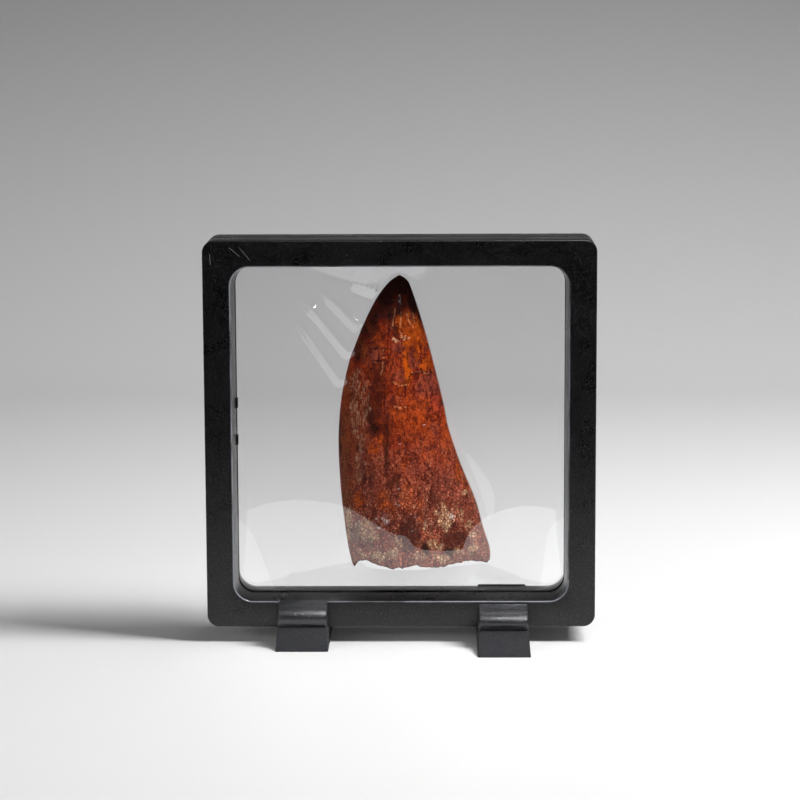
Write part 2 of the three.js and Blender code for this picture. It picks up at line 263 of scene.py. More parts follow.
def enamel():
    """Mineral-stained enamel and dentine, with some painted shade and painted highlights: the zones come from the
    mesh's masks, their edges and grain from noise.
    """
    g = Graph("fossil_enamel")
    streaks = g.spread(g.noise(g.stretched(1.4, 1.4, 0.12), 1, 4, 0.6, 0.3))
    threads = g.spread(g.noise(g.stretched(3.4, 3.4, 0.32), 1, 3, 0.65))
    mottle = g.spread(g.noise(g.stretched(1, 1, 0.7), 0.45, 5, 0.7))
    flakes = g.spread(g.noise(g.stretched(1, 1, 0.6), 0.8, 6, 0.74, 0.9))
    dust = g.spread(g.noise(g.stretched(1, 1, 0.9), 3.0, 2, 0.7))
    grit = g.between(g.math("ADD", g.math("MULTIPLY", flakes, 0.66), g.math("MULTIPLY", dust, 0.34)), 0.2, 0.8)
    warmth = g.math("ADD", g.math("MULTIPLY", streaks, 0.45), g.math("MULTIPLY", mottle, 0.55))
    rough_part = g.attribute("grain")
    plate, plate_edge = g.plates(0.3, 2.6)
    gaps = g.cells(g.stretched(1, 1, 0.85), 1.15, "DISTANCE_TO_EDGE")
    pebbles = g.math("MULTIPLY", rough_part,
                     g.between(g.math("SUBTRACT", gaps, g.math("MULTIPLY", flakes, 0.4)), 0, -0.2))

    def zone(name, opacity=1.0, texture=grit, grain=1.0):
        """The mask of a zone, broken into specks or threads all over it and most towards its edge."""
        inside = g.attribute(name)
        change = g.math("MULTIPLY", g.math("SUBTRACT", texture, 0.5), g.between(inside, 0, 0.3, 0, grain))
        return g.math("MULTIPLY", g.between(g.math("ADD", inside, change), 0.15, 0.9), opacity)

    # Light grains; on the grainy part their pale tone is partly a painted highlight standing in for sparkle
    high = g.math("MULTIPLY", g.between(grit, 0.55, 1), g.between(rough_part, 0, 1, 0.5, 0.8))
    low = g.math("MULTIPLY", g.between(grit, 0.45, 0), g.between(rough_part, 0, 1, 0.7, 0.85))
    smooth_tone = g.blend(warmth, tone(80, 20, 8), tone(172, 53, 15))
    rough_tone = g.blend(warmth, tone(116, 46, 32), tone(196, 92, 62))
    colour = g.blend(rough_part, smooth_tone, rough_tone)
    colour = g.blend(g.math("MULTIPLY", g.between(plate, 0.52, 0.56), 0.4), colour,
                     g.blend(grit, tone(90, 29, 19), tone(158, 70, 45)))
    colour = g.blend(high, colour, g.blend(rough_part, tone(208, 86, 28), tone(232, 152, 118)))
    colour = g.blend(low, colour, tone(44, 12, 8))
    colour = g.blend(g.math("MULTIPLY", g.between(threads, 0.6, 0.95), 0.5), colour, tone(56, 18, 9))
    # Darker stain, and painted shade left of the ridge
    colour = g.blend(zone("shade", 0.7, mottle), colour, tone(58, 17, 8))
    colour = g.blend(zone("olive", 0.75), colour, g.blend(threads, tone(70, 30, 15), tone(150, 82, 42)))
    colour = g.blend(zone("mauve", 0.7, flakes, 0.7), colour, g.blend(grit, tone(82, 29, 22), tone(172, 82, 58)))
    colour = g.blend(zone("warm", 0.55, mottle), colour, g.blend(grit, tone(118, 36, 12), tone(212, 92, 30)))
    colour = g.blend(zone("orange", 0.9), colour, g.blend(mottle, tone(116, 34, 4), tone(232, 104, 10)))
    colour = g.blend(zone("terracotta", 0.75), colour, g.blend(grit, tone(134, 48, 24), tone(216, 112, 66)))
    colour = g.blend(zone("salmon", 0.5), colour, tone(196, 74, 50))
    dashes = g.math("MULTIPLY", g.between(threads, 0.35, 0.8), zone("streak", 0.7, flakes))
    colour = g.blend(dashes, colour, g.blend(grit, tone(122, 84, 64), tone(206, 170, 140)))
    colour = g.blend(zone("beige", 0.85, flakes, 1.3), colour, g.blend(grit, tone(152, 96, 66), tone(240, 198, 154)))
    colour = g.blend(zone("grey", 0.55), colour, g.blend(grit, tone(60, 46, 42), tone(150, 130, 122)))
    broken = g.between(flakes, 0.35, 0.55)
    colour = g.blend(g.math("MULTIPLY", g.attribute("vein"), g.math("MULTIPLY", broken, 0.6)), colour, tone(226, 158, 106))
    # Pale spots of the stone, and near the tip a painted highlight
    colour = g.blend(g.math("MULTIPLY", g.attribute("pale_spots_and_painted_highlight"), 0.85), colour, tone(206, 192, 190))
    colour = g.blend(g.between(rough_part, 0, 1, 0.24, 0.04), colour, tone(8, 1, 0))
    soot = g.blend(g.math("MULTIPLY", grit, threads), tone(3, 1, 1), tone(56, 18, 7))
    colour = g.blend(zone("dark", 0.97, grit, 0.8), colour, soot)
    colour = g.blend(g.math("MULTIPLY", plate_edge, g.math("MULTIPLY", broken, 0.55)), colour, tone(38, 11, 8))
    colour = g.blend(g.math("MULTIPLY", g.attribute("crack"), 0.7), colour, tone(22, 7, 6))
    colour = g.blend(g.math("MULTIPLY", pebbles, 0.7), colour, tone(42, 13, 10))
    colour = g.blend(g.math("MULTIPLY", g.attribute("rim"), 0.85), colour, g.blend(grit, tone(36, 16, 9), tone(120, 66, 34)))
    relief = g.math("SUBTRACT", g.math("MULTIPLY", grit, 0.45), g.math("MAXIMUM", pebbles, g.math("MULTIPLY", plate_edge, 0.5)))
    roughness = g.between(mottle, 0, 1, 0.36, 0.5)
    g.surface.inputs["Specular IOR Level"].default_value = 0.06
    return g.shade(base_color=colour, roughness=roughness, normal=g.bump(relief, 0.1, 0.8))


def moulded(name, dark, light, roughness, grain_size, grain_height, scratches=()):
    """Moulded plastic with a fine pebbled skin, a little dust, a painted highlight on any edge its mesh marks, uneven
    gloss and any scratches on its front.
    """
    g = Graph(name)
    here = g.stretched(1, 1, 1)
    pebbles = g.noise(here, 1 / grain_size, 2, 0.5)
    clouds = g.noise(here, 0.12, 3, 0.6)
    motes = g.cells(here, 0.35)
    dust = g.math("MULTIPLY", g.between(motes, 0.055, 0.03), g.between(clouds, 0.5, 0.56))
    colour = g.blend(g.between(clouds, 0.35, 0.65), dark, light)
    colour = g.blend(g.math("MULTIPLY", g.between(pebbles, 0.52, 0.7), 0.5), colour, tone(62, 61, 66))
    # A painted highlight: a pale line where the mesh marks an edge, broken up by noise
    edge_highlight_share = g.math("MULTIPLY", g.attribute("painted_edge_highlight"), g.between(g.noise(here, 0.05, 3, 0.6), 0.38, 0.58, 0.25, 1))
    colour = g.blend(g.math("MULTIPLY", edge_highlight_share, 0.5), colour, tone(190, 194, 204))
    colour = g.blend(g.math("MULTIPLY", dust, 0.5), colour, tone(190, 186, 178))
    for scratch in scratches:
        front = g.between(g.along(here, 0, 0, -1), 9, 9.5, 0, 0.6)
        colour = g.blend(g.math("MULTIPLY", g.stroke(here, *scratch), front), colour, tone(120, 118, 116))
    gloss = g.math("ADD", g.between(clouds, 0.3, 0.7, roughness - 0.04, roughness + 0.04),
                   g.math("ADD", g.math("MULTIPLY", pebbles, 0.08), g.math("MULTIPLY", g.attribute("matt"), 0.5)))
    return g.shade(base_color=colour, roughness=gloss, normal=g.bump(pebbles, grain_height, 0.8))


def clear_film():
    """Stretched clear film: thin, glossy and very slightly uneven."""
    g = Graph("clear_film")
    unevenness = g.noise(g.stretched(1, 1, 1), 0.06, 2, 0.5)
    haze = g.noise(g.stretched(1, 1, 1), 0.5, 4, 0.6)
    g.surface.inputs["Transmission Weight"].default_value = 1
    g.surface.inputs["IOR"].default_value = 1.65
    return g.shade(base_color=(0.985, 0.985, 0.99, 1), roughness=g.between(haze, 0.55, 0.8, 0.0, 0.05),
                   normal=g.bump(unevenness, 0.02, 0.5))


def paper(name, light, dark):
    """A plain studio surface whose colour darkens up its walls: painted shade for the light falling off with height."""
    g = Graph(name)
    fibres = g.noise(g.stretched(1, 1, 1), 0.8, 3, 0.6)
    height = g.add("ShaderNodeSeparateXYZ")
    g.put(height.inputs[0], g.place)
    pale = g.blend(fibres, tone(light - 3, light - 3, light - 3), tone(light, light, light))
    # Painted shade: the colour darkens with height
    fall = g.add("ShaderNodeMapRange")
    for name, number in (("Value", height.outputs["Z"]), ("From Min", 0.005), ("From Max", 0.33)):
        g.put(fall.inputs[name], number)
    return g.shade(base_color=g.blend(fall.outputs[0], pale, tone(dark, dark, dark)), roughness=0.5)


# Meshes

def add_piece(name, points, faces, material, node, sharp=30):
    """A smooth mesh from points in millimetres, which stands for a CAD node."""
    mesh = bpy.data.meshes.new(name)
    mesh.from_pydata((np.asarray(points, float) * MM).tolist(), [], faces)
    mesh.shade_smooth()
    if sharp:
        mesh.set_sharp_from_angle(angle=math.radians(sharp))
    mesh.materials.append(material)
    piece = bpy.data.objects.new(name, mesh)
    bpy.context.scene.collection.objects.link(piece)
    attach(piece, "root")
    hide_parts(node)
    return piece


def paint(piece, name, values):
    """Gives a mesh's points a value each, which a material reads by its name."""
    layer = piece.data.attributes.new(name, "FLOAT", "POINT")
    layer.data.foreach_set("value", np.asarray(values, np.float32))


def grid_faces(rows, columns, start=0, flip=False):
    """Quads over a grid of points numbered row by row."""
    faces = []
    for r in range(rows - 1):
        for c in range(columns - 1):
            a = start + r * columns + c
            quad = (a, a + 1, a + 1 + columns, a + columns)
            faces.append(quad[::-1] if flip else quad)
    return faces


def rounded_loop(half_width, half_height, radius, y):
    """A rounded rectangle round the frame's middle, at one depth."""
    loop = []
    for corner in range(4):
        cx = (half_width - radius) * (1 if corner in (0, 3) else -1)
        cz = (half_height - radius) * (1 if corner < 2 else -1)
        for step in range(CORNER_STEPS + 1):
            angle = (corner + step / CORNER_STEPS) * math.pi / 2
            loop.append((cx + radius * math.cos(angle), y, FRAME_MIDDLE_Z + cz + radius * math.sin(angle)))
    return loop


def skin(loops, closed):
    """Quads between loops of the same length; closed joins the last loop to the first."""
    size = len(loops[0])
    faces = []
    for k in range(len(loops) if closed else len(loops) - 1):
        following = (k + 1) % len(loops)
        for i in range(size):
            j = (i + 1) % size
            faces.append((k * size + i, k * size + j, following * size + j, following * size + i))
    return [p for loop in loops for p in loop], faces


def turned_out(points, faces):
    """The faces, reversed where they enclose the solid inside out."""
    volume = 0
    for face in faces:
        a, b, c = (Vector(points[i]) for i in face[:3])
        volume += a.dot(b.cross(c))
        if len(face) == 4:
            volume += a.dot(c.cross(Vector(points[face[3]])))
    return faces if volume > 0 else [f[::-1] for f in faces]


def fillet(corner, before, after, radius):
    """Points that round a corner of a section, from the side of one neighbour to the side of the other."""
    corner, before, after = (Vector(p) for p in (corner, before, after))
    first = corner + (before - corner).normalized() * radius
    last = corner + (after - corner).normalized() * radius
    points = []
    for step in range(ROUND_STEPS + 1):
        t = step / ROUND_STEPS
        points.append(first * (1 - t) ** 2 + corner * 2 * t * (1 - t) + last * t ** 2)
    return points


def catch(points, faces, centre_z):
    """Adds one small catch of the front half, which reaches over the window's edge at its left."""
    lip = WALL_DRAFT - WINDOW_WIDTH / 2
    middle = (lip + (CATCHES["reach"] - CATCHES["root"]) / 2, -REBATE_Y - SEAM_GAP - CATCHES["depth"] / 2, centre_z)
    half = ((CATCHES["reach"] + CATCHES["root"]) / 2, CATCHES["depth"] / 2, CATCHES["height"] / 2)
    rounding = RIM_ROUND
    loops = []
    for end in (-1, 1):
        for step in range(ROUND_STEPS + 1):
            angle = (step if end > 0 else ROUND_STEPS - step) / ROUND_STEPS * math.pi / 2
            z = middle[2] + end * (half[2] - rounding + rounding * math.sin(angle))
            shrink = rounding * (1 - math.cos(angle))
            loop = []
            for sx, sy in ((1, 1), (-1, 1), (-1, -1), (1, -1)):
                for corner_x, corner_y in ((1, 0.3), (0.3, 1))[::sx * sy]:
                    loop.append((middle[0] + sx * (half[0] - shrink - rounding * (1 - corner_x)),
                                 middle[1] + sy * (half[1] - shrink - rounding * (1 - corner_y)), z))
            loops.append(loop)
    new_points, new_faces = skin(loops, closed=False)
    size = len(loops[0])
    new_faces += [tuple(range(size))[::-1], tuple(range(len(new_points) - size, len(new_points)))]
    start = len(points)
    points += new_points
    faces += [tuple(start + i for i in f) for f in new_faces]


def frame_half(name, side, material):
    """One half of the frame. side is -1 for the front half and 1 for the rear half."""
    outer = FRAME_SIDE / 2
    face = FRAME_DEPTH / 2
    inside = WINDOW_WIDTH / 2
    lip = inside - WALL_DRAFT
    # The section's corners as (half width, depth), each with its rounding
    corners = [((outer, SEAM_GAP / 2), RIM_ROUND), ((outer, face), EDGE_ROUND), ((inside, face), EDGE_ROUND)]
    if side < 0:
        corners += [((lip + 0.1, GROOVE_REACH), RIM_ROUND), ((lip + GROOVE_DEPTH, GROOVE_REACH), RIM_ROUND),
                    ((lip + GROOVE_DEPTH, REBATE_Y), RIM_ROUND)]
    else:
        corners.append(((lip, REBATE_Y), RIM_ROUND))
    corners += [((REBATE_HALF, REBATE_Y), RIM_ROUND), ((REBATE_HALF, SEAM_GAP / 2), RIM_ROUND)]
    loops = []
    painted_edge_highlight = []
    for k, (corner, rounding) in enumerate(corners):
        before = corners[k - 1][0]
        after = corners[(k + 1) % len(corners)][0]
        for step, (half, depth) in enumerate(fillet(corner, before, after, rounding)):
            # The window's front edge is marked for a painted highlight, strongest mid-way round its rounding
            painted_edge_highlight.append(1 - abs(step * 2 / ROUND_STEPS - 1) if corner == (inside, face) else 0)
            in_window = half <= (inside + outer) / 2
            taller = (WINDOW_HEIGHT - WINDOW_WIDTH) / 2 if in_window else 0
            radius = WINDOW_RADIUS + half - inside if in_window else OUTER_RADIUS + half - outer
            if REBATE_HALF - RIM_ROUND <= half <= REBATE_HALF and depth < 1:
                radius = OUTER_RADIUS / 2
            loops.append(rounded_loop(half, half + taller, radius, side * depth))
    points, faces = skin(loops, closed=True)
    faces = turned_out(points, faces)
    if side < 0:
        for centre_z in CATCHES["centres"]:
            catch(points, faces, centre_z)
    piece = add_piece(name, points, faces, material, name.replace("_shell", ""))
    values = np.repeat(painted_edge_highlight, len(loops[0]))
    paint(piece, "painted_edge_highlight", np.pad(values, (0, len(points) - len(values))))


def lip_outline(lip):
    """One side of a foot's section from the slot out to the toe, as (reach beyond the frame's face, z)."""
    out, down = lip["nose"]
    points = [(SEAM_GAP, FRAME_LIFT - SEAM_GAP), (SEAM_GAP, lip["top"])]
    for step in range(NOSE_STEPS + 1):
        angle = NOSE_TURN * step / NOSE_STEPS
        points.append((lip["land"] + out * math.sin(angle), lip["top"] - lip["dip"] - down * (1 - math.cos(angle))))
    toe = [(lip["toe"] - TOE_HEIGHT / 2, TOE_HEIGHT), (lip["toe"], TOE_HEIGHT / 3), (lip["toe"], 0)]
    return points + [bezier(toe, k / TOE_STEPS) for k in range(TOE_STEPS + 1)]


def bezier(points, t):
    """The point at t on the Bezier curve with these control points."""
    while len(points) > 1:
        points = [(a[0] + (b[0] - a[0]) * t, a[1] + (b[1] - a[1]) * t) for a, b in zip(points, points[1:])]
    return points[0]


def inset(section, distance):
    """A closed section moved inwards by a distance, corner by corner."""
    count = len(section)
    moved = []
    for k in range(count):
        here = Vector(section[k])
        along_in = (here - Vector(section[k - 1])).normalized()
        along_out = (Vector(section[(k + 1) % count]) - here).normalized()
        normal = Vector((-along_in.y - along_out.y, along_in.x + along_out.x)).normalized()
        stretch = 1 / max(0.5, normal.dot(Vector((-along_in.y, along_in.x))))
        moved.append(tuple(here + normal * distance * stretch))
    return moved


def foot(name, centre, tall_side, material):
    """A foot with its tall lip on the given side: -1 in front, 1 behind."""
    face = FRAME_DEPTH / 2
    tall = [(tall_side * (face + r), z) for r, z in lip_outline(TALL_LIP)]
    short = [(-tall_side * (face + r), z) for r, z in lip_outline(SHORT_LIP)]
    section = tall + short[::-1]
    area = sum(a[0] * b[1] - b[0] * a[1] for a, b in zip(section, section[1:] + section[:1]))
    if area < 0:
        section = section[::-1]
    loops = []
    for end in (-1, 1):
        for step in range(ROUND_STEPS + 1):
            angle = (step if end > 0 else ROUND_STEPS - step) / ROUND_STEPS * math.pi / 2
            depth = FOOT_EDGE * (1 - math.cos(angle))
            x = end * (FOOT_WIDTH / 2 - FOOT_EDGE * (1 - math.sin(angle)))
            loop = []
            for y, z in inset(section, depth):
                flare = 1 + FOOT_FLARE * max(0, 1 - z / FOOT_FLARE_TOP)
                loop.append((centre + x * flare, y, max(z, 0)))
            loops.append(loop)
    points, faces = skin(loops, closed=False)
    size = len(section)
    faces.append(tuple(range(size))[::-1])
    faces.append(tuple(range(len(points) - size, len(points))))
    piece = add_piece(name, points, faces, material, name.replace("_clip", ""))
    paint(piece, "matt", [1 if z < MATT_BELOW else 0 for _, _, z in points])


# Tooth

def spaced_curve(points, count):
    """Points evenly spaced by length along the smooth curve through the given points."""
    points = np.array(points, float)
    last = len(points) - 1
    place = np.linspace(0, last, 4001)
    k = np.minimum(place.astype(int), last - 1)
    w = (place - k)[:, None]
    before, here, there, beyond = (points[np.clip(k + step, 0, last)] for step in (-1, 0, 1, 2))
    slope_a, slope_b = (there - before) / 2, (beyond - here) / 2
    curve = ((2 * here - 2 * there + slope_a + slope_b) * w ** 3
             + (-3 * here + 3 * there - 2 * slope_a - slope_b) * w ** 2 + slope_a * w + here)
    length = np.r_[0, np.cumsum(np.hypot(*np.diff(curve, axis=0).T))]
    even = np.linspace(0, length[-1], count)
    return np.c_[np.interp(even, length, curve[:, 0]), np.interp(even, length, curve[:, 1])]


def fullness(across):
    """How full the section is at a place across it, 0 at both edges and 1 on the ridge."""
    s = 2 * across - 1
    u = (s - RIDGE_PLACE) / np.where(s < RIDGE_PLACE, 1 + RIDGE_PLACE, 1 - RIDGE_PLACE)
    return np.maximum(0, 1 - u * u) ** SECTION_POWER


def field(x, z, size, stretch=1.0, seed=0.0, octaves=3):
    """Smooth noise of about -1 to 1 over arrays of places, with lumps of a size in millimetres."""
    flat = zip((x / size).ravel(), (z / (size * stretch)).ravel())
    values = [noise.fractal((a, b, seed), 0.9, 2.1, octaves) for a, b in flat]
    return np.array(values).reshape(x.shape)


def dabs(x, z, patches):
    """A mask of soft ellipses, each (x, z, half width, half height) and its strength where that isn't 1."""
    mask = np.zeros(x.shape)
    for cx, cz, half_width, half_height, *strength in patches:
        reach = np.hypot((x - cx) / half_width, (z - cz) / half_height)
        mask = np.maximum(mask, np.clip(1.5 - reach, 0, 1) * (strength[0] if strength else 1))
    return mask


def lines(x, z, paths, half_width):
    """A mask of thin lines along paths of (x, z) points."""
    mask = np.zeros(x.shape)
    for path in paths:
        for (x0, z0), (x1, z1) in zip(path, path[1:]):
            length = (x1 - x0) ** 2 + (z1 - z0) ** 2
            t = np.clip(((x - x0) * (x1 - x0) + (z - z0) * (z1 - z0)) / length, 0, 1)
            away = np.hypot(x - x0 - t * (x1 - x0), z - z0 - t * (z1 - z0))
            mask = np.maximum(mask, np.clip(1.5 - away / half_width, 0, 1))
    return mask


# Where the front's colours lie, in millimetres: (x, z, half width, half height)
ZONES = {
    "dark": [(-0.1, 101.6, 10.1, 4.4), (-5.2, 94, 2.4, 3.4, 0.8), (-4.4, 97.6, 3.6, 3.4), (3.9, 97.1, 1.8, 4), (5.8, 93, 1, 3.2, 0.8),
             (-7.6, 92.5, 2.2, 4.5, 0.75), (-10, 87.9, 1.6, 4, 0.7), (-12.2, 82, 1.4, 5, 0.6),
             (-6.9, 60.7, 2, 1.8, 0.65), (-8.2, 63.5, 1, 2.5, 0.55), (6.7, 26.8, 1.2, 1.5), (13.7, 25.7, 1.5, 0.9, 0.8),
             (-17.6, 58, 0.8, 8, 0.7), (0.2, 96, 2, 3.2, 0.75), (-3, 94.5, 1.6, 3.5, 0.7)],
    # The shade patches: darker stain, and left of the ridge near x = -4 painted shade of the side turned from the light
    "shade": [(-6.5, 74, 2.2, 12), (-3.9, 56, 0.9, 10), (-7.2, 88, 1.6, 5), (-1.2, 91, 1.2, 4), (-8, 64, 2, 5),
              (2, 31, 3, 5), (-2, 45, 2.5, 5, 0.7), (-9, 47, 2, 4, 0.7), (15, 28, 4, 3), (9.5, 42, 3, 4, 0.6)],
    "warm": [(3.5, 64, 6, 6), (-0.5, 70, 2, 8, 0.6), (7, 58, 3, 6, 0.7), (12.6, 56, 1.6, 8, 0.6), (-5.2, 84, 1, 3, 0.6)],
    "orange": [(4.4, 87.3, 3.1, 4.6), (1.4, 89.1, 1.4, 4), (1.6, 80.2, 0.8, 3.4), (1.9, 76.2, 1.1, 2.8),
               (7.4, 78.6, 1.8, 1.8), (4.8, 81.2, 1, 1.2, 0.8), (2, 84, 0.8, 3), (-7.2, 86.1, 1, 1.8, 0.5), (-7.4, 54.3, 1.1, 1.1, 0.7),
               (-5, 57.4, 0.8, 1.2, 0.6), (-11.6, 40, 1.7, 2.4, 0.75), (-5, 40.7, 1.8, 2.9, 0.6),
               (-2.9, 38.5, 1.2, 1.5, 0.6), (16.2, 49.3, 0.9, 4, 0.7), (18.5, 44, 0.8, 4, 0.6), (1.2, 51.2, 0.8, 1.8, 0.6),
               (-0.5, 91.6, 0.9, 1.8, 0.8)],
    "terracotta": [(1.8, 41.6, 1.8, 4), (2.7, 39.4, 2.8, 1.5), (5.6, 37.2, 0.8, 2.8), (1.2, 45, 0.8, 1.8)],
    "mauve": [(0.4, 83.7, 2.5, 1.6), (3.9, 79.9, 2.2, 2.3), (7.7, 72.8, 3.9, 3.6), (-1.5, 68.3, 2.2, 1.8),
              (3.3, 49.3, 2.2, 2.5), (6.1, 55.6, 1.8, 1.8), (-10.8, 53.1, 1.8, 2.8), (-8.4, 43.2, 2.2, 2.8),
              (-6.9, 81.7, 1.8, 1.8), (2.9, 91.9, 1.2, 2.5, 0.8), (0.2, 75.5, 2, 2), (9.5, 60, 1.6, 3, 0.7), (14, 39, 3, 3, 0.5),
              (12, 46, 4, 4, 0.7), (18, 37, 2, 4, 0.8), (-9, 60, 1.5, 3, 0.6)],
    "salmon": [(9.8, 68.9, 1.1, 1.5), (10, 66.4, 1.2, 1.8), (11.4, 64.9, 0.8, 1.2)],
    "streak": [(-13.3, 66.5, 1.2, 4), (-12.6, 61.5, 1, 3), (-9.9, 69.6, 1.2, 4), (-10.1, 65.2, 1, 2),
               (-12.8, 73, 1, 3), (-11.7, 77, 0.8, 2.5), (-11, 56.2, 0.9, 3), (-11.6, 69, 2.6, 8, 0.7),
               (-11.5, 50, 1.4, 5, 0.6)],
    "beige": [(12.2, 34.4, 2.8, 2.5, 0.8), (11.9, 37.2, 1.8, 1.8, 0.7), (19, 32.5, 1.4, 0.9, 0.8), (20.2, 30, 1.1, 0.8, 0.8),
              (8.8, 28.2, 1.1, 1.1), (11, 26.8, 1.5, 0.8, 0.9), (-1.4, 85.9, 0.8, 0.4), (1.2, 86.3, 0.9, 0.8, 0.8),
              (18.1, 41.9, 0.8, 0.8), (3.8, 39.4, 0.5, 0.8), (-10, 31.9, 2.2, 2.6), (-14.7, 34.1, 1.2, 3.4),
              (-14.9, 29.3, 1, 3, 0.8), (-7.8, 30, 2, 1.4), (20.5, 25.6, 1.4, 1.6, 0.8), (-0.1, 28.4, 1.2, 2, 0.7),
              (-2.9, 24.9, 2.2, 1.4, 0.9), (-6.3, 24.3, 2, 1.4), (5, 24.5, 2, 1.2, 0.7), (12, 23.5, 3, 1, 0.7),
              (16, 25.5, 2, 1.2, 0.6), (-11, 24.5, 1.5, 1, 0.8), (17, 35, 0.7, 2, 0.6), (7, 33, 0.6, 1.4, 0.6)],
    "grey": [(-12.8, 29.4, 1.8, 1.8, 0.8), (-9.7, 28.4, 1.8, 1.5, 0.6), (-12.4, 32.5, 0.8, 2.5, 0.6)],
    "olive": [(-15.7, 53.1, 1.5, 8), (-15.1, 42.5, 1.5, 6.5), (-3.1, 101.1, 1.8, 1.8, 0.6), (-10.6, 83, 2.4, 4, 0.7),
              (-14.8, 72, 1.4, 6, 0.8), (-15.6, 62, 1.2, 6, 0.8), (-8, 91, 2, 5, 0.6), (-12, 60, 3, 16, 0.5)],
}
SPOTS = [(-4.1, 34.4, 0.7, 0.7), (-5, 35.3, 0.3, 0.4), (-6.9, 35, 0.3, 0.3), (-0.5, 43.8, 0.2, 0.2),
         (-0.4, 39.2, 0.2, 0.2), (-1.6, 39.4, 0.2, 0.2), (14.5, 35.3, 0.6, 0.6), (-6.3, 32.5, 0.6, 0.3),
         (-0.3, 56.5, 0.2, 0.2), (6.6, 61.6, 0.2, 0.2), (-4.7, 36.3, 0.2, 0.2), (4.2, 35.6, 0.2, 0.2),
         (3.3, 31.7, 0.2, 0.2)]
VEINS = [
    [(-4.7, 83.4), (-4.7, 80.8)], [(-4.8, 79.7), (-5, 77.7), (-5.5, 76)], [(0.3, 94.6), (0.1, 90.3), (0.3, 86.7)],
    [(-1.4, 94.6), (-1.7, 91.9), (-2.3, 89.1)], [(-2, 86.4), (0.1, 85.1)], [(3.4, 76.5), (5.6, 76.6), (7.7, 76)],
    [(-2.2, 74), (-0.2, 72.9), (2.2, 73.1)], [(-6.5, 96.9), (-3.8, 97), (-0.7, 96.8)],
    [(1.1, 96.2), (3.1, 96.8), (4.9, 96.3)], [(15.5, 38.4), (16.2, 36.2), (17.6, 33.7)],
    [(-1.8, 67.1), (-0.3, 66.6), (1.6, 66.9)], [(3.5, 93.1), (4, 90.9), (3.5, 89.1)],
    [(1.7, 93.1), (2.3, 91.6), (2.9, 89.7)],
]
# A thin pale line near the tip: a painted highlight
PAINTED_TIP_HIGHLIGHT = [[(-0.1, 98.2), (-0.1, 94.9)]]
CRACKS = [
    [(-2.9, 94), (-3.1, 89.1), (-3.5, 84.8), (-3.4, 79.9)], [(-3.7, 58.4), (-4, 53.4), (-4.2, 50.6)],
    [(-8.1, 83.4), (-5.7, 83.6), (-3.5, 83.4)], [(2.2, 73.7), (2.7, 75.6), (3.7, 76.2), (7.1, 76.6), (8, 75.9)],
    [(-2.1, 64.3), (-2.3, 61.5)], [(-4.2, 71.7), (-4.5, 68), (-4, 63.7), (-3.5, 59.3)],
    [(5.2, 54.3), (7.6, 49.9), (9.5, 46.8)], [(-8.1, 80.2), (-5.4, 80.1)], [(1.9, 82.3), (2.2, 78.6), (2.8, 77.7)],
]
LINE_HALF_WIDTH = 0.17
RIM_HEIGHT = 0.9
GRAIN_TOP = 62
GRAIN_FULL = 40


def zone_masks(x, z, side):
    """Every mask of the enamel at places on one side of the tooth, with ragged edges."""
    seed = 0 if side < 0 else 40
    mirror = 1 if side < 0 else 0.82
    warp_x = x * mirror + 0.7 * field(x, z, 2.2, 1.6, seed + 3)
    warp_z = z + 1.1 * field(x, z, 2.2, 1.6, seed + 7)
    masks = {name: dabs(warp_x, warp_z, patches) for name, patches in ZONES.items()}
    small_x = x * mirror + 0.15 * field(x, z, 0.8, 1, seed + 11)
    # Pale spots of the stone, and the painted highlight near the tip
    masks["pale_spots_and_painted_highlight"] = np.maximum(dabs(small_x, z, SPOTS), lines(x * mirror, z, PAINTED_TIP_HIGHLIGHT, 0.28))
    masks["vein"] = lines(small_x, z, VEINS, LINE_HALF_WIDTH)
    masks["crack"] = lines(small_x, z, CRACKS, LINE_HALF_WIDTH)
    masks["grain"] = np.clip((GRAIN_TOP - z + 6 * field(x, z, 6, 1, seed + 19)) / (GRAIN_TOP - GRAIN_FULL), 0, 1)
    return masks


def relief(x, z, masks, side):
    """How far the surface stands proud of the smooth tooth, in millimetres; mostly a little below it."""
    seed = 100 if side < 0 else 140
    ribs = 0.05 * field(x, z, 1.3, 12, seed, 3)
    swells = 0.08 * field(x, z, 6, 1.6, seed + 5, 3)
    grains = 0.11 * masks["grain"] * field(x, z, 0.7, 1, seed + 9, 3)
    pits = -0.22 * masks["grain"] * np.clip(field(x, z, 1.1, 1.2, seed + 13, 2) - 0.55, 0, 0.5) / 0.5
    cracks = -0.14 * masks["crack"] - 0.05 * masks["vein"]
    chips = -0.1 * np.clip(masks["beige"], 0, 1) + 0.05 * np.clip(masks["mauve"], 0, 1)
    return ribs + swells + grains + pits + cracks + chips - 0.12


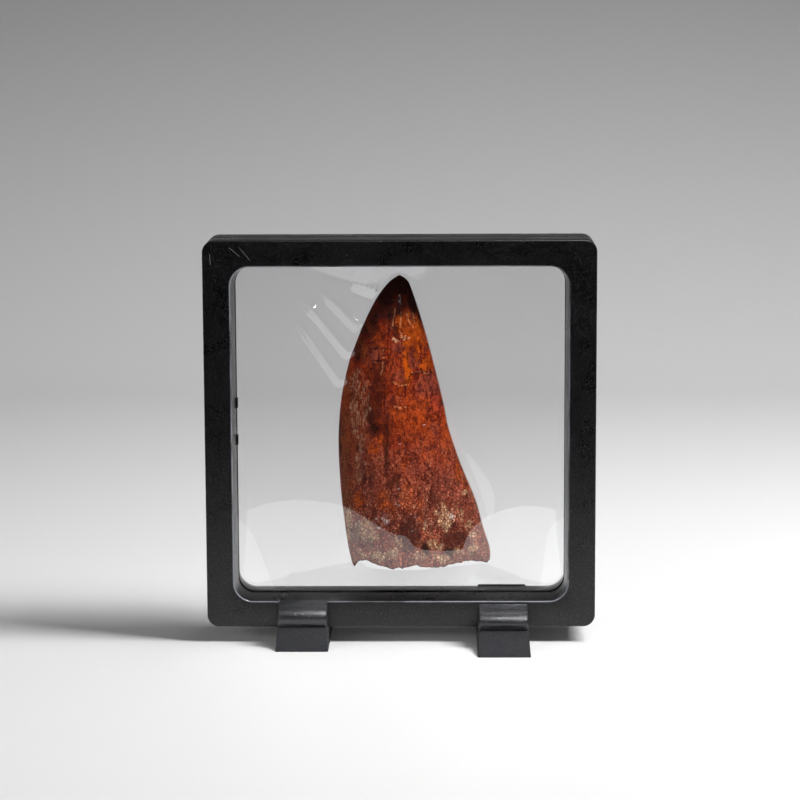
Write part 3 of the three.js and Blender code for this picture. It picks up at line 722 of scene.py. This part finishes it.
def tooth_side(columns, side):
    """Points of one side of the tooth as arrays over rows and columns, with the masks of its enamel."""
    rows = DENTICLES * ROWS_PER_DENTICLE
    left = spaced_curve(MESIAL_EDGE, rows + 1)
    right = spaced_curve(DISTAL_EDGE, rows + 1)
    even = np.linspace(0, 1, columns + 1)
    across = 0.55 * even + 0.45 * (0.5 - 0.5 * np.cos(math.pi * even))
    x = left[:, :1] + (right[:, :1] - left[:, :1]) * across
    z = left[:, 1:] + (right[:, 1:] - left[:, 1:]) * across
    half = np.hypot(*(right - left).T)[:, None] * THICKNESS_RATIO / 2
    y = side * half * fullness(across) * (REAR_FULLNESS if side > 0 else 1)

    # The rows near the base bend to the broken edge
    broken = np.interp(x[0], *zip(*BREAK_LINE))
    broken += 0.35 * field(x[0], x[0] * 0, 1.6, 1, 31, 4)
    if side > 0:
        wave = REAR_BREAK_WAVE
        inner = np.sin(math.pi * np.linspace(0, 1, columns + 1)) > 1e-6
        broken = broken + inner * wave["height"] * np.sin(x[0] * wave["rate"] + wave["phase"])
    broken[0], broken[-1] = BREAK_LINE[0][1], BREAK_LINE[-1][1]
    fade = np.clip(1 - (z - z[0]) / BREAK_BLEND, 0, 1)
    z = z + (broken - z[0]) * fade

    # Relief along the surface's normal, gone at both edges
    masks = zone_masks(x, z, side)
    masks["rim"] = np.clip(1 - (z - broken) / RIM_HEIGHT, 0, 1)
    down, over = np.gradient(np.stack([x, y, z]), axis=(1, 2))
    normal = np.cross(over, down, axis=0) * side
    normal /= np.maximum(1e-9, np.linalg.norm(normal, axis=0))
    edge_fade = np.clip(np.minimum(across, 1 - across) / 0.04, 0, 1)
    tip_fade = np.clip((TIP[1] - z) / 2, 0, 1)
    push = relief(x, z, masks, side) * edge_fade * tip_fade
    x, y, z = (a + n * push for a, n in zip((x, y, z), normal))

    # Denticles
    along = np.gradient(right, axis=0)
    along /= np.linalg.norm(along, axis=1)[:, None]
    notch = DENTICLE_DEPTH * np.array(DENTICLE_SHAPE)[np.arange(rows + 1) % ROWS_PER_DENTICLE]
    notch = notch * np.clip((rows - np.arange(rows + 1)) / 12, 0, 1) * np.clip(np.arange(rows + 1) / 12, 0, 1)
    for column, share in enumerate(DENTICLE_COLUMNS):
        x[:, -1 - column] -= along[:, 1] * notch * share
        z[:, -1 - column] += along[:, 0] * notch * share
    return x, y, z, masks, across


def tooth_mesh(material):
    """The whole tooth: a front and a rear sheet that share their edges and tip, and the hollow broken underside."""
    points = []
    faces = []
    masks = {}
    ids = {}
    rows = DENTICLES * ROWS_PER_DENTICLE
    places = {}
    for side_name, side in (("front", -1), ("rear", 1)):
        columns = TOOTH_COLUMNS[side_name]
        x, y, z, side_masks, places[side_name] = tooth_side(columns, side)
        y[:, 0] = y[:, -1] = 0
        number = np.zeros((rows + 1, columns + 1), int)
        for r in range(rows):
            for c in range(columns + 1):
                if side > 0 and c in (0, columns):
                    number[r, c] = ids["front"][r, 0 if c == 0 else -1]
                    continue
                number[r, c] = len(points)
                points.append((x[r, c], y[r, c], z[r, c]))
                for name, mask in side_masks.items():
                    masks.setdefault(name, []).append(mask[r, c])
        if side < 0:
            tip_number = len(points)
            points.append((TIP[0], 0, TIP[1]))
            for name, mask in side_masks.items():
                masks[name].append(mask[-1, 0])
        number[rows] = tip_number
        ids[side_name] = number
        for r in range(rows):
            for c in range(columns):
                corners = (number[r, c], number[r, c + 1], number[r + 1, c + 1], number[r + 1, c])
                face = tuple(int(n) for n in dict.fromkeys(corners))
                faces.append(face if side < 0 else face[::-1])

    # The underside, hollowed between the front edge and the rear edge
    front_edge, rear_edge = ids["front"][0], ids["rear"][0]
    front = np.array([points[n] for n in front_edge])
    rear_all = np.array([points[n] for n in rear_edge])
    rear = np.stack([np.interp(places["front"], places["rear"], rear_all[:, k]) for k in range(3)], axis=1)
    previous = [int(n) for n in front_edge]
    count = len(front_edge)
    for r in range(1, HOLLOW_ROWS + 1):
        share = r / (HOLLOW_ROWS + 1)
        row = [previous[0]]
        for c in range(1, count - 1):
            place = front[c] + (rear[c] - front[c]) * share
            deep = math.sin(math.pi * share) * math.sin(math.pi * c / (count - 1)) ** 0.5
            rough = noise.fractal((place[0] / 1.4, place[1] / 1.4, 9.5), 0.8, 2.1, 4)
            place[2] += deep * (HOLLOW_DEPTH + 0.5 * rough)
            row.append(len(points))
            points.append(tuple(place))
            for name in masks:
                masks[name].append(0.8 if name == "grain" else 0)
        row.append(previous[-1])
        for c in range(count - 1):
            corners = (previous[c], row[c], row[c + 1], previous[c + 1])
            faces.append(tuple(dict.fromkeys(corners)))
        previous = row
    i = j = 0
    rear_ids = [int(n) for n in rear_edge]
    while i < count - 1 or j < len(rear_ids) - 1:
        go_front = j == len(rear_ids) - 1 or (i < count - 1 and places["front"][i + 1] <= places["rear"][j + 1])
        if go_front:
            corner = (previous[i], rear_ids[j], previous[i + 1])
            i += 1
        else:
            corner = (previous[i], rear_ids[j], rear_ids[j + 1])
            j += 1
        if len(set(corner)) == 3:
            faces.append(corner)
    piece = add_piece("fossil_tooth", points, faces, material, "tooth", sharp=0)
    for name, values in masks.items():
        paint(piece, name, values)


# Films

# Folds of the front film that run down to the tooth's left edge, each with its ends and its width
FOLDS = [
    {"from": (-22.6, 98.5), "to": (-12.2, 88.1), "width": 2.8, "tail": 4},
    {"from": (-28.4, 97.0), "to": (-14.5, 80.3), "width": 2.7, "tail": 5.2},
    {"from": (-29.8, 91.0), "to": (-16.8, 72.3), "width": 2.3, "tail": 5.2},
    {"from": (-14.8, 101.2), "to": (-6.8, 98.4), "width": 3.4, "tail": 5},
]
FOLD_SLOPE = 0.62

# The crest of the pleats between the tooth's tip and the top of the window, as (x, z)
PLEAT_CREST = [
    (-27.5, 106.5), (-18, 102.9), (-10.4, 100.9), (-6.5, 101.3), (-4.2, 106.5), (1.8, 106.5), (3.2, 103),
    (5, 101.8), (6.4, 102.6), (7.4, 106.5),
]
PLEAT_SLOPES = (0.36, 0.1)

# Where the front film is a little slack at its lower left
SLACK = [
    {"place": (-17, 22), "size": (20, 16), "height": 0.6},
    {"place": (-1, 33), "size": (7, 5), "height": 0.28},
]


def folds(grid_x, grid_z):
    """How far the folds lift the film: a quick rise across each fold, then a slow fall above it."""
    lift = np.zeros(grid_x.shape)
    for fold in FOLDS:
        (x0, z0), (x1, z1) = fold["from"], fold["to"]
        length = math.hypot(x1 - x0, z1 - z0)
        along = ((grid_x - x0) * (x1 - x0) + (grid_z - z0) * (z1 - z0)) / length ** 2
        above = ((grid_x - x0) * (z0 - z1) + (grid_z - z0) * (x1 - x0)) / length
        width = fold["width"] * np.clip(along * 5, 0.02, 1)
        rise = np.clip(above / width + 0.5, 0, 1) * width * FOLD_SLOPE
        fall = np.clip(1 - (above - width / 2) / fold["tail"], 0, 1) ** 2
        lift = np.maximum(lift, rise * fall * np.clip((1 - along) * 12, 0, 1))
    edge = np.clip((FILM_HALF - abs(grid_x)) / 8, 0, 1) * np.clip((grid_z - 12) / 6, 0, 1)
    for lump in SLACK:
        across = (grid_x - lump["place"][0]) / lump["size"][0]
        up = (grid_z - lump["place"][1]) / lump["size"][1]
        lift = lift + lump["height"] * np.exp(-across ** 2 - up ** 2) * edge
    return lift


def pleats(grid_x, grid_z):
    """The height of the pleats at the top: steep from their crest to the window's edge, slow below it."""
    steep, slow = PLEAT_SLOPES
    top = FRAME_MIDDLE_Z + WINDOW_HEIGHT / 2 - WALL_DRAFT
    crest = np.interp(grid_x, *zip(*PLEAT_CREST))
    height = np.where(grid_z > crest, steep * (top - grid_z), steep * (top - crest) - slow * (crest - grid_z))
    return np.maximum(0, np.where(crest < top, height, 0))


def tooth_half_map(xs, zs):
    """Half the tooth's thickness over a grid of places, 0 outside it."""
    rows = 1200
    left = spaced_curve(MESIAL_EDGE, rows)
    right = spaced_curve(DISTAL_EDGE, rows)
    half_map = np.zeros((len(zs), len(xs)))
    chord = np.hypot(*(right - left).T)
    for j, z in enumerate(zs):
        for i, x in enumerate(xs):
            if not -18 < x < 26 or not 20 < z < 104:
                continue
            side = (right[:, 0] - left[:, 0]) * (z - left[:, 1]) - (right[:, 1] - left[:, 1]) * (x - left[:, 0])
            k = int(np.searchsorted(-side, 0))
            if k in (0, rows):
                continue
            across = (x - left[k, 0]) / max(1e-6, right[k, 0] - left[k, 0])
            if 0 < across < 1:
                half_map[j, i] = chord[k] * THICKNESS_RATIO / 2 * fullness(np.array(across))
    return half_map


def relaxed_film(half_map, side_fullness):
    """The film's height over its flat rest: a stretched skin that may not enter the tooth."""
    cells = FILM_CELLS
    half_w = WINDOW_WIDTH / 2 - WALL_DRAFT
    half_h = WINDOW_HEIGHT / 2 - WALL_DRAFT
    radius = WINDOW_RADIUS - WALL_DRAFT
    xs = np.linspace(-half_w, half_w, cells + 1)
    zs = np.linspace(-half_h, half_h, cells + 1)
    grid_x, grid_z = np.meshgrid(xs, zs)
    corner = np.hypot(np.maximum(0, abs(grid_x) - half_w + radius), np.maximum(0, abs(grid_z) - half_h + radius))
    free = corner < radius
    free[0] = free[-1] = False
    free[:, 0] = free[:, -1] = False
    floor = np.where(half_map > 0, half_map * side_fullness + FILM_STAND_OFF - FILM_INNER_Y, 0)
    reach = max(1, round(FILM_CLEAR_RADIUS / (2 * half_w / cells)))
    for step_x, step_z in ((reach, 0), (-reach, 0), (0, reach), (0, -reach)):
        floor = np.maximum(floor, np.roll(np.roll(floor, step_x, axis=1), step_z, axis=0))
    height = floor.copy()
    red = (np.add.outer(np.arange(cells + 1), np.arange(cells + 1)) % 2).astype(bool)
    for _ in range(FILM_ROUNDS):
        for colour in (red & free, ~red & free):
            mean = (np.roll(height, 1, 0) + np.roll(height, -1, 0) + np.roll(height, 1, 1) + np.roll(height, -1, 1)) / 4
            moved = np.maximum(floor, height + OVER_RELAX * (mean - height))
            height = np.where(colour, moved, height)
    return xs, zs + FRAME_MIDDLE_Z, height


def film(name, side, half_map, material):
    """A film as a thin closed sheet. side is -1 for the front film and 1 for the rear film."""
    xs, zs, height = relaxed_film(half_map, REAR_FULLNESS if side > 0 else 1)
    xs = np.r_[-FILM_HALF, xs, FILM_HALF]
    zs = np.r_[FRAME_MIDDLE_Z - FILM_HALF, zs, FRAME_MIDDLE_Z + FILM_HALF]
    height = np.pad(height, 1)
    grid_x, grid_z = np.meshgrid(xs, zs)
    if side < 0:
        height = height + folds(grid_x, grid_z)
    else:
        height = np.maximum(height, pleats(grid_x, grid_z))
    sheets = [np.stack([grid_x, side * (FILM_INNER_Y + lift + height), grid_z], axis=2).reshape(-1, 3)
              for lift in (0, FILM_THICKNESS)]
    rows, columns = grid_x.shape
    size = rows * columns
    faces = grid_faces(rows, columns, 0, side < 0) + grid_faces(rows, columns, size, side > 0)
    rim = ([c for c in range(columns)] + [r * columns + columns - 1 for r in range(1, rows)]
           + [(rows - 1) * columns + c for c in range(columns - 2, -1, -1)] + [r * columns for r in range(rows - 2, 0, -1)])
    for a, b in zip(rim, rim[1:] + rim[:1]):
        face = (a, b, b + size, a + size)
        faces.append(face if side < 0 else face[::-1])
    piece = add_piece(name, np.vstack(sheets), faces, material, name.replace("_skin", ""), sharp=50)
    piece.visible_shadow = False
    return piece


# Studio

STAGE = {"side": 1200, "front": -1300, "rear": 450, "corner": 300, "curve": 400, "wall": 1500}
GLOSS_EDGE = -168
CURVE_STEPS = 24


def tub_loop(out, z):
    """A level line round the tub, so far outside its flat floor, and the places where its two parts meet."""
    half_x = STAGE["side"] + out
    half_y = (STAGE["rear"] - STAGE["front"]) / 2 + out
    middle_y = (STAGE["front"] + STAGE["rear"]) / 2
    radius = STAGE["corner"] + out
    loop = []
    for corner in range(4):
        cx = (half_x - radius) * (1 if corner in (0, 3) else -1)
        cy = (half_y - radius) * (1 if corner < 2 else -1)
        for step in range(CORNER_STEPS + 1):
            angle = (corner + step / CORNER_STEPS) * math.pi / 2
            loop.append((cx + radius * math.cos(angle), middle_y + cy + radius * math.sin(angle), z))
        if corner % 2:
            loop.append((half_x if corner == 3 else -half_x, GLOSS_EDGE, z))
    return loop


def stage(materials):
    """A pale tub: a floor that curves up into walls. Its front part stays out of glossy reflections."""
    loops = []
    for step in range(CURVE_STEPS + 1):
        angle = step / CURVE_STEPS * math.pi / 2
        loops.append(tub_loop(STAGE["curve"] * math.sin(angle), STAGE["curve"] * (1 - math.cos(angle))))
    loops.append(tub_loop(STAGE["curve"], STAGE["wall"]))
    size = len(loops[0])
    parts = {"studio_sweep": [size - 1] + list(range(size // 2)), "studio_front": list(range(size // 2 - 1, size))}
    for (name, columns), material in zip(parts.items(), materials):
        points = [(np.array(loop[i]) * MM).tolist() for loop in loops for i in columns]
        faces = grid_faces(len(loops), len(columns), flip=True) + [tuple(range(len(columns)))]
        mesh = bpy.data.meshes.new(name)
        mesh.from_pydata(points, [], faces)
        mesh.shade_smooth()
        mesh.materials.append(material)
        piece = bpy.data.objects.new(name, mesh)
        bpy.context.scene.collection.objects.link(piece)
        piece.visible_glossy = name == "studio_sweep"


def softbox(name, place, target, width, height, power, glossy=True, spread=180):
    """A soft area light at a place in metres, turned to a target."""
    data = bpy.data.lights.new(name, "AREA")
    data.shape = "RECTANGLE"
    data.size, data.size_y = width, height
    data.energy = power
    data.spread = math.radians(spread)
    lamp = bpy.data.objects.new(name, data)
    bpy.context.scene.collection.objects.link(lamp)
    lamp.location = place
    lamp.rotation_euler = (Vector(target) - Vector(place)).to_track_quat("-Z", "Y").to_euler()
    lamp.visible_camera = False
    lamp.visible_glossy = glossy
    lamp.visible_transmission = glossy
    return lamp


def lights():
    softbox("key_light", (0.46, -0.11, 0.62), (0.05, 0.05, 0), 0.22, 0.45, 4.4, glossy=False, spread=130)
    softbox("left_fill", (-0.75, -0.60, 0.28), (-0.03, 0, 0.03), 0.7, 0.4, 3.2, glossy=False)
    softbox("low_panel", (0.1, -1.0, 0.3), (0, 0, 0.02), 1.4, 0.5, 2.0, glossy=False)
    softbox("back_top", (0.3, 0.42, 0.98), (0.2, 0.42, 0), 1.2, 0.45, 2.15, glossy=False)
    sheen_light = softbox("top_front", (0.24, -0.42, 0.80), (0, 0, 0.02), 0.3, 0.2, 7)
    sheen_light.visible_diffuse = False
    world = bpy.data.worlds.new("studio_air")
    world.use_nodes = True
    world.node_tree.nodes["Background"].inputs["Color"].default_value = (0.02, 0.02, 0.02, 1)
    bpy.context.scene.world = world


CAMERA = {"place": (0.01253, -0.75091, 0.18537), "heading": 0.0169, "down": 0.1549, "roll": -0.0045,
          "lens": 120.45, "sensor": 36}


def camera():
    """The camera, where the photograph's perspective puts it."""
    data = bpy.data.cameras.new("camera")
    data.lens = CAMERA["lens"]
    data.sensor_width = CAMERA["sensor"]
    eye = bpy.data.objects.new("camera", data)
    bpy.context.scene.collection.objects.link(eye)
    turn = (Matrix.Rotation(CAMERA["heading"], 4, "Z") @ Matrix.Rotation(math.pi / 2 - CAMERA["down"], 4, "X")
            @ Matrix.Rotation(CAMERA["roll"], 4, "Z"))
    eye.matrix_world = Matrix.Translation(CAMERA["place"]) @ turn
    bpy.context.scene.camera = eye
    bpy.context.scene.view_settings.view_transform = "Standard"


def build():
    frame_look = moulded("frame_plastic", tone(4, 3, 4), tone(8, 7, 8), 0.27, 0.42, 0.02, FRAME_SCRATCHES)
    foot_look = moulded("foot_plastic", tone(17, 18, 23), tone(23, 24, 30), 0.33, 0.5, 0.16)
    foot_look.node_tree.nodes["Principled BSDF"].inputs["Specular IOR Level"].default_value = 0.95
    film_look = clear_film()
    frame_half("frame_front_shell", -1, frame_look)
    frame_half("frame_rear_shell", 1, frame_look)
    foot("foot_left_clip", FOOT_CENTRES["left"], -1, foot_look)
    foot("foot_right_clip", FOOT_CENTRES["right"], 1, foot_look)
    tooth_mesh(enamel())
    half_w = WINDOW_WIDTH / 2 - WALL_DRAFT
    half_h = WINDOW_HEIGHT / 2 - WALL_DRAFT
    half_map = tooth_half_map(np.linspace(-half_w, half_w, FILM_CELLS + 1),
                              np.linspace(-half_h, half_h, FILM_CELLS + 1) + FRAME_MIDDLE_Z)
    film("film_front_skin", -1, half_map, film_look)
    film("film_rear_skin", 1, half_map, film_look)
    stage([paper("pale_paper", 232, 90), paper("grey_paper", 60, 60)])
    lights()
    camera()


build()
